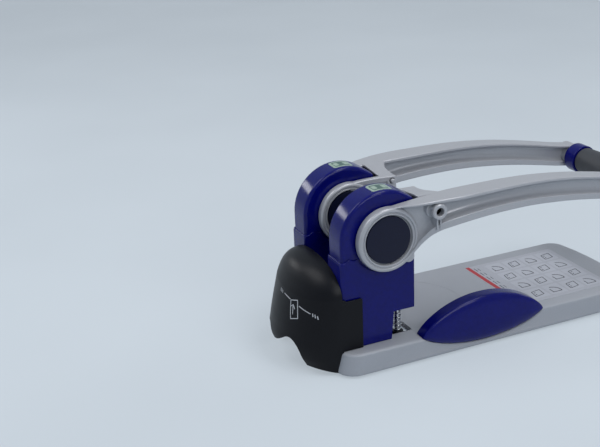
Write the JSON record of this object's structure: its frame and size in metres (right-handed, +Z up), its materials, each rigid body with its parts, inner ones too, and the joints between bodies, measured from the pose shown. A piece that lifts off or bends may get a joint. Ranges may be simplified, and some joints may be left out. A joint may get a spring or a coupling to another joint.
{
  "type": "two-hole lever punch",
  "caption": "Heavy-duty two-hole paper punch with a long forked lever, two arched columns over a paper throat, a rear chip bin and a sliding paper guide.",
  "frame": {"origin": "middle of the bounds at the level of the feet", "axes": "+X from the chip bin towards the grip, +Y from the paper guide towards the far side, +Z up"},
  "size_m": [0.4051, 0.1596, 0.176],
  "materials": {
    "blue_gloss": "gloss",
    "base_grey": "satin",
    "silver_paint": "satin",
    "black_satin": "satin",
    "sleeve_rubber": "matte",
    "foot_rubber": "matte",
    "label_film": "satin",
    "bronze": "satin",
    "zinc_plate": "satin",
    "bright_steel": "polished"
  },
  "bodies": {
    "base_unit": {"base_cover": "base_grey", "base_plate": "zinc_plate", "foot_0_near": "foot_rubber", "foot_0_far": "foot_rubber", "foot_1_near": "foot_rubber", "foot_1_far": "foot_rubber", "plate_screw_0_near": "bright_steel", "plate_screw_0_far": "bright_steel", "plate_screw_1_near": "bright_steel", "plate_screw_1_far": "bright_steel", "die_plate": "bright_steel", "die_near": "zinc_plate", "die_far": "zinc_plate", "column_near": "blue_gloss", "column_far": "blue_gloss", "guide_block_near": "zinc_plate", "guide_block_far": "zinc_plate", "bush_outer_near": "bronze", "bush_outer_far": "bronze", "bush_inner_near": "bronze", "bush_inner_far": "bronze", "label_panel": "label_film", "guide_channel": "zinc_plate"},
    "handle_unit": {"arm_near": "silver_paint", "arm_far": "silver_paint", "cap_outer_near": "black_satin", "cap_outer_far": "black_satin", "cap_inner_near": "black_satin", "cap_inner_far": "black_satin", "axle_near": "bright_steel", "axle_far": "bright_steel", "pinion_near": "bright_steel", "pinion_far": "bright_steel", "grip_tube": "bright_steel", "grip_collar_near": "blue_gloss", "grip_collar_far": "blue_gloss", "end_screw_near": "bright_steel", "end_screw_far": "bright_steel"},
    "grip_unit": {"grip_sleeve": "sleeve_rubber"},
    "punch_unit_near": {"punch_pin_near": "bright_steel", "rack_near": "bright_steel", "spring_near": "bright_steel"},
    "punch_unit_far": {"punch_pin_far": "bright_steel", "rack_far": "bright_steel", "spring_far": "bright_steel"},
    "presser_unit_near": {"presser_near": "black_satin"},
    "presser_unit_far": {"presser_far": "black_satin"},
    "bin_unit": {"chip_bin": "black_satin", "chip_tray": "black_satin"},
    "guide_unit": {"guide_head": "blue_gloss", "guide_bar": "bright_steel"}
  },
  "joints": [
    {"name": "handle_swing", "type": "hinge", "parent": "base_unit", "child": "handle_unit", "pos_m": [-0.10925, 0, 0.1305], "axis": [0, -1, 0], "range_deg": [0, 80]},
    {"name": "grip_spin", "type": "hinge", "parent": "handle_unit", "child": "grip_unit", "pos_m": [0.18775, 0, 0.131], "axis": [0, 1, 0], "continuous": true},
    {"name": "bin_slide", "type": "slide", "parent": "base_unit", "child": "bin_unit", "axis": [-1, 0, 0], "range_m": [0, 0.07]},
    {"name": "guide_slide", "type": "slide", "parent": "base_unit", "child": "guide_unit", "axis": [0, -1, 0], "range_m": [0, 0.085]},
    {"name": "punch_slide_near", "type": "slide", "parent": "base_unit", "child": "punch_unit_near", "axis": [0, 0, 1], "range_m": [0, 0.0224]},
    {"name": "presser_slide_near", "type": "slide", "parent": "punch_unit_near", "child": "presser_unit_near", "axis": [0, 0, 1], "range_m": [0, 0.018], "stiffness_N_per_m": 60, "springref_m": -0.004, "deforming": ["spring_near"]},
    {"name": "punch_slide_far", "type": "slide", "parent": "base_unit", "child": "punch_unit_far", "axis": [0, 0, 1], "range_m": [0, 0.0224]},
    {"name": "presser_slide_far", "type": "slide", "parent": "punch_unit_far", "child": "presser_unit_far", "axis": [0, 0, 1], "range_m": [0, 0.018], "stiffness_N_per_m": 60, "springref_m": -0.004, "deforming": ["spring_far"]}
  ],
  "couplings": [
    {"joint": "punch_slide_near", "follows": "handle_swing", "m_per_rad": 0.016},
    {"joint": "punch_slide_far", "follows": "handle_swing", "m_per_rad": 0.016}
  ]
}
